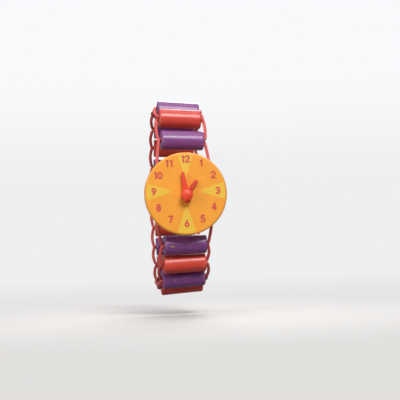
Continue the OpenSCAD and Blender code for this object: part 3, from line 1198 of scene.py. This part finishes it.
@dataclass
class DialFace:
    """The dial: a turned disc with four printed wedges and twelve numerals, a little above the middle."""

    face: float
    pivot: Vector
    radius: float = 16.5 * MM
    thickness: float = 3.4 * MM
    edge: float = 0.8 * MM
    hole: float = 1.02 * MM
    segments: int = 160
    rings: int = 24
    back_rings: int = 10
    sway: float = 0.012 * MM
    sway_scale: float = 130
    # Where the pale edge band of rubbed paint and painted rim highlight peaks, and how far it spreads, as
    # shares of the edge
    rub_line: float = 0.75
    rub_spread: float = 0.22
    print_rise: float = 1.0 * MM
    film: float = 0.02 * MM
    wedge_hours: tuple[int, ...] = (12, 3, 6, 9)
    wedge_start: float = 4.7 * MM
    wedge_gap: float = 0.02
    wedge_half_angle: float = 17.5
    wedge_fade: float = 3.0 * MM
    wedge_rays: int = 28
    wedge_steps: int = 22
    numeral_ring: float = 12.8 * MM
    numeral_size: float = 3.0 * MM
    stroke: float = 0.64 * MM
    stroke_rise: float = 0.3
    digit_step: float = 0.56

    def flat(self) -> Matrix:
        """The frame of the face, with X to the right, Y up to twelve and Z out of the dial."""
        return facing(Vector((0, self.face, 0)))

    def build_disc(self) -> Piece:
        """Makes the disc.

        Returns:
            The piece.
        """
        rim = self.radius - self.edge
        front = [(0.0, self.hole + (rim - self.hole) * k / self.rings) for k in range(self.rings)]
        front += arc((-self.edge, rim), self.edge, 0, 90, 10)
        back = arc((-self.thickness + self.edge, rim), self.edge, 90, 180, 10)
        shares = [k / self.back_rings for k in range(1, self.back_rings + 1)]
        back += [(-self.thickness, rim + (self.hole - rim) * share) for share in shares]
        rows = revolve(front + back, self.segments, upright=True)
        points = rows.reshape(-1, 3)
        reach = np.hypot(points[:, 0], points[:, 1])
        sway = np.array([noise.noise(Vector(p) * self.sway_scale) for p in points])
        points[:, 1] += self.pivot.z * np.clip((rim - reach) / (rim - self.hole), 0, 1)
        # A pale band peaks on the front rounding of the edge: partly rubbed paint, partly a painted rim
        # highlight.
        brink = ((reach - rim) / self.edge - self.rub_line) / self.rub_spread
        rub_and_highlight = np.exp(-brink ** 2) * (points[:, 2] > -self.edge)
        points[:, 2] += self.sway * sway
        mesh = sheet_mesh("dial_disc", points.reshape(rows.shape), loop_rows=True)
        store(mesh, "rim", rub_and_highlight)
        return settle(make_piece(mesh, ORANGE, self.flat()), HEAD, "dial")

    def build_wedge(self, hour: int) -> Piece:
        """Makes one printed wedge, from near the middle to the rim.

        Args:
            hour: The hour that it points to.

        Returns:
            The piece.
        """
        axis = math.radians(90 - 30 * hour)
        middle = np.array((0.0, self.print_rise))
        apex = middle + self.wedge_start * np.array((math.cos(axis), math.sin(axis)))
        limit = self.radius - self.edge
        rays, steps = self.wedge_rays, self.wedge_steps
        shares = [self.wedge_gap + (1 - self.wedge_gap) * s / steps for s in range(steps + 1)]
        rows = []
        for k in range(rays + 1):
            lean = axis + math.radians(self.wedge_half_angle) * (2 * k / rays - 1)
            way = np.array((math.cos(lean), math.sin(lean)))
            along = apex @ way
            reach = -along + math.sqrt(along * along - apex @ apex + limit * limit)
            rows.append([(*(apex + way * reach * share), self.film) for share in shares])
        points = np.array(rows)
        index = np.arange((rays + 1) * (steps + 1)).reshape(rays + 1, steps + 1)
        faces = [(index[k, s], index[k, s + 1], index[k + 1, s + 1], index[k + 1, s])
                 for k in range(rays) for s in range(steps)]
        mesh = grid_mesh(f"printed_wedge_{hour:02d}", points, faces)
        thicken(mesh, self.film * 2)
        distance = np.linalg.norm(points_of(mesh)[:, :2] - apex, axis=1)
        store(mesh, "fade", np.clip(distance / self.wedge_fade, 0, 1))
        return settle(make_piece(mesh, YELLOW_INK, self.flat(), hour), HEAD)

    def brush(self, work: bmesh.types.BMesh, line: Sequence[Point], height: float) -> None:
        """Lays one stroke of ink along a line, with round ends where it is open.

        Args:
            work: The mesh that takes the stroke.
            line: The stroke's centre line.
            height: How high the stroke lies, so that it covers the ones before it.
        """
        points = np.array(line)
        closed = np.allclose(points[0], points[-1])
        if closed:
            points = points[:-1]
            ways = np.roll(points, -1, axis=0) - np.roll(points, 1, axis=0)
        else:
            ways = np.gradient(points, axis=0)
        ways /= np.linalg.norm(ways, axis=1)[:, None]
        across = np.stack([-ways[:, 1], ways[:, 0]], axis=1) * self.stroke / 2
        sides = [[work.verts.new((*p, height)) for p in points + sign * across] for sign in (-1, 1)]
        for k in range(len(points) if closed else len(points) - 1):
            after = (k + 1) % len(points)
            work.faces.new((sides[0][k], sides[0][after], sides[1][after], sides[1][k]))
        for end in () if closed else (0, -1):
            start = math.degrees(math.atan2(ways[end][1], ways[end][0])) + (90 if end == 0 else -90)
            cap = arc(points[end], self.stroke / 2, start, start + 180, 9)
            work.faces.new([work.verts.new((*p, height)) for p in cap])

    def build_numeral(self, hour: int) -> Piece:
        """Makes one printed numeral, upright on its place of the ring.

        Args:
            hour: The hour.

        Returns:
            The piece.
        """
        digits = str(hour)
        work = bmesh.new()
        for place, digit in enumerate(digits):
            shift = (place - (len(digits) - 1) / 2) * self.digit_step
            for layer, stroke in enumerate(STROKES[digit]):
                line = [((x + shift) * self.numeral_size, (y - 0.5) * self.numeral_size) for x, y in stroke]
                self.brush(work, line, self.stroke_rise * self.film * layer)
        mesh = bpy.data.meshes.new(f"printed_numeral_{hour:02d}")
        work.to_mesh(mesh)
        work.free()
        turn = math.radians(30 * hour)
        right = self.numeral_ring * math.sin(turn)
        up = self.print_rise + self.numeral_ring * math.cos(turn)
        mesh.transform(Matrix.Translation((right, up, self.film * 2)))
        thicken(mesh, self.film)
        store(mesh, "fade", np.ones(len(mesh.vertices)))
        return settle(make_piece(mesh, RED_INK, self.flat(), hour), HEAD)

    def build(self) -> list[Piece]:
        """Makes the disc and its print.

        Returns:
            The pieces.
        """
        pieces = [self.build_disc()]
        pieces += [self.build_wedge(hour) for hour in self.wedge_hours]
        return pieces + [self.build_numeral(hour) for hour in range(1, 13)]


@dataclass(frozen=True)
class Bar:
    """A bar with round ends from the pivot to a tip: its widths at both, its reach and its angle."""

    wide: float
    narrow: float
    reach: float
    turn: float = 0.0

    def distance(self, place: np.ndarray) -> float:
        """How far a point lies outside the bar.

        Args:
            place: The point.

        Returns:
            The distance, below 0 inside.
        """
        axis = np.array((math.sin(math.radians(self.turn)), math.cos(math.radians(self.turn))))
        run = self.reach - self.narrow / 2
        share = min(1.0, max(0.0, float(place @ axis) / run))
        half_width = (self.wide + (self.narrow - self.wide) * share) / 2
        return float(np.linalg.norm(place - axis * run * share)) - half_width


HOUR_BARS = (Bar(wide=1.8 * MM, narrow=1.8 * MM, reach=7.5 * MM),)
MINUTE_BARS = (
    Bar(wide=3.0 * MM, narrow=1.2 * MM, reach=9.6 * MM),
    Bar(wide=2.4 * MM, narrow=2.4 * MM, reach=3.2 * MM, turn=180),
)


@dataclass
class Hand:
    """One hand: bars on an eye, at a level above the dial and an angle clockwise from twelve."""

    name: str
    face: Matrix
    finish: HandPlastic
    bars: Sequence[Bar]
    level: float
    angle: float
    seed: int
    eye: float = 4.2 * MM
    hole: float = 1.05 * MM
    thickness: float = 1.0 * MM
    bevel: float = 0.26 * MM
    fillet: float = 0.35 * MM
    fillet_gain: float = 0.1
    rays: int = 220
    crowding: float = 2.6
    limit: float = 20 * MM
    halvings: int = 40

    def outside(self, place: np.ndarray) -> float:
        """How far a point lies outside the hand, with soft inner corners.

        Args:
            place: The point, with the pivot at the origin.

        Returns:
            The distance, below 0 inside.
        """
        apart = [float(np.linalg.norm(place)) - self.eye / 2]
        apart += [bar.distance(place) for bar in self.bars]
        merged = -math.log(sum(math.exp(-d / self.fillet) for d in apart))
        return self.fillet * (merged + self.fillet_gain)

    def outline(self) -> np.ndarray:
        """The hand's outline, with more points near its tip.

        Returns:
            The points in order round the pivot.
        """
        points = []
        for k in range(self.rays):
            share = 2 * k / self.rays - 1
            turn = math.radians(90) - math.copysign(abs(share) ** self.crowding, share) * math.pi
            way = np.array((math.cos(turn), math.sin(turn)))
            near, far = 0.0, self.limit
            for _ in range(self.halvings):
                middle = (near + far) / 2
                near, far = (middle, far) if self.outside(way * middle) < 0 else (near, middle)
            points.append(way * near)
        return np.array(points)

    def build(self) -> Piece:
        """Makes the hand.

        Returns:
            The piece.
        """
        edge = self.outline()
        ahead = np.roll(edge, -1, axis=0) - np.roll(edge, 1, axis=0)
        inwards = np.stack([-ahead[:, 1], ahead[:, 0]], axis=1)
        inwards /= np.linalg.norm(inwards, axis=1)[:, None]
        inwards *= np.sign(np.sum(inwards * -edge, axis=1))[:, None]
        bore = self.hole * edge / np.linalg.norm(edge, axis=1)[:, None]
        bottom = edge + inwards * self.bevel * 0.5
        rows = [(bottom, 0.0), (edge, self.bevel * 0.5)]
        for angle in range(0, 91, ROUND_STEP):
            lean = math.radians(angle)
            inset = inwards * self.bevel * (1 - math.cos(lean))
            rows.append((edge + inset, self.thickness - self.bevel * (1 - math.sin(lean))))
        top = rows[-1][0]
        rows += [(top + (bore - top) * share, self.thickness) for share in (0.35, 0.7, 1.0)]
        rows += [(bore, 0.0), ((bore + bottom) / 2, 0.0)]
        points = np.array([np.column_stack([flat, np.full(len(flat), height)]) for flat, height in rows])
        mesh = sheet_mesh(f"{self.name}_moulded", points, loop_rows=True)
        lift = Matrix.Translation((0, 0, self.level)) @ Matrix.Rotation(math.radians(-self.angle), 4, "Z")
        piece = make_piece(mesh, self.finish, self.face @ lift, self.seed)
        return settle(piece, self.name, self.name)


@dataclass
class Peg:
    """The peg that the hands turn on, with a domed knob and a shank in the block."""

    face: Matrix
    level: float = 2.45 * MM
    radius: float = 2.3 * MM
    side: float = 1.1 * MM
    crown: float = 0.6 * MM
    rounding: float = 0.22 * MM
    shank: float = 1.0 * MM
    depth: float = 6.9 * MM
    tip: float = 0.05 * MM
    chamfer: float = 0.2 * MM
    segments: int = 64
    seed: int = 7

    def build(self) -> Piece:
        """Makes the peg.

        Returns:
            The piece.
        """
        dome = (self.radius ** 2 + self.crown ** 2) / (2 * self.crown)
        top = self.level + self.side + self.crown
        inner = self.radius - self.rounding
        profile = [(-self.depth, self.tip), (-self.depth, self.shank - self.chamfer)]
        profile += [(-self.depth + self.chamfer, self.shank), (self.level, self.shank), (self.level, inner)]
        profile += arc((self.level + self.rounding, inner), self.rounding, 180, 90, 5)
        profile += [(self.level + self.side * share, self.radius) for share in (0.5, 0.8)]
        profile += arc((top - dome, 0.0), dome, math.degrees(math.asin(self.radius / dome)), 0.6, 14)
        rows = revolve(profile, self.segments, upright=True)
        piece = make_piece(sheet_mesh("peg_and_knob", rows, caps=True), HAND_RED, self.face, self.seed)
        return settle(piece, HEAD, "centre_peg")


@dataclass
class CarrierBlock:
    """The wooden block behind the dial that carries the cord in two bores."""

    bores: Sequence[Seat]
    width: float = 20 * MM
    height: float = 22 * MM
    depth: float = 6 * MM
    corner: float = 3 * MM
    edge: float = 0.6 * MM
    front_edge: float = 0.12 * MM
    ease: float = 0.35 * MM
    bit_segments: int = 48
    sharp_angle: float = 35.0
    seed: int = 3

    def outline(self, inset: float) -> list[Point]:
        """The block's rounded outline, drawn in by an inset.

        Args:
            inset: How far it is drawn in.

        Returns:
            The points.
        """
        points = []
        for x, z, start in ((1, 1, 0), (-1, 1, 90), (-1, -1, 180), (1, -1, 270)):
            centre = (x * (self.width / 2 - self.corner), z * (self.height / 2 - self.corner))
            points += arc(centre, self.corner - inset, start, start + 90, 10)
        return points

    def build(self) -> Piece:
        """Makes the block.

        Returns:
            The piece.
        """
        middle = self.bores[0].centre.y
        front, back = middle - self.depth / 2, middle + self.depth / 2
        levels = [(front, self.front_edge), (front + self.front_edge, 0.0), (back - self.edge, 0.0)]
        for angle in range(ROUND_STEP, 91, ROUND_STEP):
            lean = math.radians(angle)
            levels.append((back - self.edge * (1 - math.sin(lean)), self.edge * (1 - math.cos(lean))))
        rows = np.array([[(x, y, z) for x, z in self.outline(inset)] for y, inset in levels])
        piece = make_piece(sheet_mesh("carrier_block", rows, caps=True), BLOCK_WOOD, seed=self.seed)
        for seat in self.bores:
            self.drill(piece, seat)
        lay_pattern(piece.data, self.seed)
        piece.data.shade_smooth()
        piece.data.set_sharp_from_angle(angle=math.radians(self.sharp_angle))
        return settle(piece, HEAD, "strap_block")

    def drill(self, piece: Piece, seat: Seat) -> None:
        """Drills one bore with eased mouths.

        Args:
            piece: The block.
            seat: The bore.
        """
        half = seat.half_length
        wide = BORE_RADIUS + self.ease
        right = [(half - self.ease, BORE_RADIUS), (half, wide), (half + MM, wide + MM)]
        profile = [(-x, r) for x, r in reversed(right)] + right
        bit = sheet_mesh("bit", revolve(profile, self.bit_segments), caps=True)
        cutter = bpy.data.objects.new("bit", bit)
        cutter.matrix_world = seat.matrix()
        bpy.context.scene.collection.objects.link(cutter)
        cut = piece.modifiers.new("bore", "BOOLEAN")
        cut.operation = "DIFFERENCE"
        cut.solver = "EXACT"
        cut.object = cutter
        bpy.context.view_layer.update()
        ready = piece.evaluated_get(bpy.context.evaluated_depsgraph_get())
        drilled = bpy.data.meshes.new_from_object(ready)
        piece.modifiers.remove(cut)
        piece.data = drilled
        bpy.data.objects.remove(cutter)


@dataclass(frozen=True)
class Softbox:
    """A round soft light that is turned to the watch, with its size in metres and its power in watts."""

    name: str
    place: Triple
    size: float
    power: float

    def build(self) -> None:
        """Hangs the light."""
        data = bpy.data.lights.new(self.name, "AREA")
        data.shape = "DISK"
        data.size = self.size
        data.energy = self.power
        lamp = bpy.data.objects.new(self.name, data)
        lamp.location = self.place
        lamp.rotation_euler = (-Vector(self.place)).to_track_quat("-Z", "Y").to_euler()
        bpy.context.scene.collection.objects.link(lamp)


SOFTBOXES = (
    Softbox("softbox_key", (0.12, -0.60, 0.47), 0.34, 4.35),
    Softbox("softbox_above", (0.0, -0.05, 0.80), 0.50, 1.4),
    Softbox("softbox_left", (-0.60, -0.38, 0.16), 0.35, 1.6),
    Softbox("softbox_back", (0.15, 0.62, 0.42), 0.40, 3.0),
)


@dataclass
class Studio:
    """The pale floor, the soft lights and the camera.

    Each pair that ends in fade or rise gives where a change of tone starts and where it is complete.
    """

    floor_level: float
    azimuth: float = -6.91
    elevation: float = -2.82
    roll: float = -1.6
    distance: float = 438 * MM
    aim: Triple = (0.0, -22 * MM, 0.0)
    slide: Point = (6.3 * MM, -2.2 * MM)
    focal_px: float = 1086.5
    frame_px: float = 400.0
    sensor_mm: float = 36.0
    backdrop: Colour = srgb(238, 239, 240)
    upper_backdrop: Colour = srgb(248, 249, 251)
    backdrop_rise: Point = (0.06, 0.16)
    around: Colour = (0.28, 0.28, 0.285, 1.0)
    floor_colour: Colour = srgb(217, 215, 213)
    floor_shown: Colour = srgb(226, 224, 222)
    floor_bounce: Colour = (0.20, 0.197, 0.195, 1.0)
    floor_radius: float = 1.6
    floor_rings: int = 40
    floor_segments: int = 72
    floor_centre: float = 0.001 * MM
    cloud_scale: float = 6
    fibre_scale: float = 900
    matt_fade: Point = (0.03, 0.18)
    depth_fade: Point = (-0.25, 0.80)
    reach_fade: Point = (0.40, 1.30)

    def build_camera(self) -> None:
        """Stands the camera where the photograph was taken from."""
        turn, rise, roll = (math.radians(a) for a in (self.azimuth, self.elevation, self.roll))
        back = Vector((math.sin(turn) * math.cos(rise), -math.cos(turn) * math.cos(rise), math.sin(rise)))
        level = Vector((math.cos(turn), math.sin(turn), 0))
        upright = back.cross(level)
        right = math.cos(roll) * level + math.sin(roll) * upright
        up = math.cos(roll) * upright - math.sin(roll) * level
        place = Vector(self.aim) + back * self.distance + right * self.slide[0] + up * self.slide[1]
        data = bpy.data.cameras.new("camera")
        data.sensor_width = self.sensor_mm
        data.sensor_fit = "HORIZONTAL"
        data.lens = self.focal_px / self.frame_px * self.sensor_mm
        data.clip_start = 0.01
        camera = bpy.data.objects.new("camera", data)
        bpy.context.scene.collection.objects.link(camera)
        turned = Matrix((right, up, back)).transposed().to_4x4()
        camera.matrix_world = Matrix.Translation(place) @ turned
        bpy.context.scene.camera = camera

    def build_world(self) -> None:
        """Lights the scene softly all round, in front of a pale backdrop."""
        world = bpy.data.worlds.new("studio")
        world.use_nodes = True
        bpy.context.scene.world = world
        bench = NodeBench(world.node_tree)
        rise = bench.parts(bench.add("ShaderNodeTexCoord").outputs["Generated"])[2]
        shown = bench.blend(bench.step(rise, *self.backdrop_rise), self.backdrop, self.upper_backdrop)
        colour = bench.blend(bench.seen_directly(), self.around, shown)
        light = bench.add("ShaderNodeBackground", {"Color": colour, "Strength": 1.0})
        bench.add("ShaderNodeOutputWorld", {"Surface": light.outputs[0]})

    def floor_paper(self) -> bpy.types.Material:
        """Makes the floor's pale paper, matt round the watch and fading into the backdrop.

        Returns:
            The material.
        """
        material = bpy.data.materials.new("floor_paper")
        material.use_nodes = True
        bench = NodeBench(material.node_tree)
        place = bench.add("ShaderNodeTexCoord").outputs["Object"]
        cloud = bench.mottle(place, self.cloud_scale, 3)
        clouded = bench.blend(cloud, self.floor_colour, shade(self.floor_colour, 1.03))
        paper = bench.blend(bench.seen_directly(), self.floor_bounce, clouded)
        fibre = bench.relief(bench.mottle(place, self.fibre_scale, 3), 0.05 * MM, 0.1)
        matt = bench.add("ShaderNodeBsdfPrincipled", {"Base Color": paper, "Roughness": 0.85,
                                                      "Normal": fibre, "Specular IOR Level": 0.2})
        reach = bench.add("ShaderNodeVectorMath", {0: place}, operation="LENGTH").outputs["Value"]
        depth = bench.parts(place)[1]
        distant = bench.step(reach, *self.reach_fade)
        paling = bench.number("MAXIMUM", bench.step(depth, *self.depth_fade), distant)
        sweep = bench.blend(paling, self.floor_shown, self.backdrop)
        far = bench.add("ShaderNodeEmission", {"Color": sweep})
        fade = bench.number("MULTIPLY", bench.step(reach, *self.matt_fade), bench.seen_directly())
        mixed = bench.add("ShaderNodeMixShader", {0: fade, 1: matt.outputs[0], 2: far.outputs[0]})
        bench.add("ShaderNodeOutputMaterial", {"Surface": mixed.outputs[0]})
        return material

    def build_floor(self) -> None:
        """Lays the floor below the watch."""
        shares = [(k / self.floor_rings) ** 2 for k in range(self.floor_rings + 1)]
        profile = [(0.0, self.floor_centre + self.floor_radius * share) for share in shares]
        mesh = sheet_mesh("floor", revolve(profile, self.floor_segments, upright=True))
        mesh.materials.append(self.floor_paper())
        floor = bpy.data.objects.new("floor", mesh)
        floor.location = (0, 0, self.floor_level)
        bpy.context.scene.collection.objects.link(floor)

    def build(self) -> None:
        """Sets up the studio."""
        self.build_camera()
        for softbox in SOFTBOXES:
            softbox.build()
        self.build_world()
        self.build_floor()
        bpy.context.scene.view_settings.view_transform = "Standard"


def bead_seats(half_length: float) -> list[Seat]:
    """Finds every bead's seat from the joint that it rolls on.

    Args:
        half_length: Half of a bead's length.

    Returns:
        The seats in the order of the row.
    """
    rolls = {j["name"]: j for j in frame["joints"] if j["name"].startswith("roll_")}
    seats = []
    for name in sorted(rolls):
        along = Vector(rolls[name]["axis"]).normalized()
        outwards = -Vector((0, along.y, along.z)).normalized()
        way = Vector((0, outwards.z, -outwards.y))
        seats.append(Seat(Vector(rolls[name]["pos_m"]), along, way, along.cross(way), half_length))
    return seats


def block_seats(spacing: float) -> tuple[Seat, Seat]:
    """Finds the seats of the block's two bores.

    Args:
        spacing: The distance between the bores.

    Returns:
        The upper seat and the lower one.
    """
    low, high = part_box("strap_block")
    middle = (low.y + high.y) / 2
    half = (high.x - low.x) / 2
    ways = (Vector((1, 0, 0)), Vector((0, 0, 1)), Vector((0, -1, 0)))
    top, bottom = (Seat(Vector((0, middle, z)), *ways, half) for z in (spacing / 2, -spacing / 2))
    return top, bottom


def main() -> None:
    """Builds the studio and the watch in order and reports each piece."""
    logging.basicConfig(level=logging.INFO, format="%(message)s")
    Studio(CAD_BOX[0].z * (1 + BAND_STRETCH)).build()
    beads = bead_seats(BEAD_LENGTH / 2)
    top, bottom = block_seats(BORE_SPACING)
    lacing = Lacing([top, *beads, bottom], (len(beads) + 1) // 2)
    pieces = []
    for number, seat in enumerate(beads, 1):
        pieces.append(Bead(number, seat, PURPLE if number % 2 else RED).build())
        pieces.append(lacing.build_link(number))
    pieces += [lacing.build_behind_dial(), lacing.build_closing(), Knot(lacing).build()]
    pivot = next(Vector(j["pos_m"]) for j in frame["joints"] if j["name"] == "minute_turn")
    pieces += DialFace(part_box("dial")[0].y, pivot).build()
    pieces.append(CarrierBlock((top, bottom)).build())
    front = facing(pivot)
    hour = Hand("hour_hand", front, SHADED_HOUR_RED, HOUR_BARS, level=0.15 * MM, angle=36.2, seed=9)
    minute = Hand("minute_hand", front, HAND_RED, MINUTE_BARS, level=1.3 * MM, angle=-8.3, seed=11)
    pieces += [hour.build(), minute.build(), Peg(front).build()]
    for piece in pieces:
        LOG.info("%s: %d points", piece.name, len(piece.data.vertices))


if __name__ == "__main__":
    main()
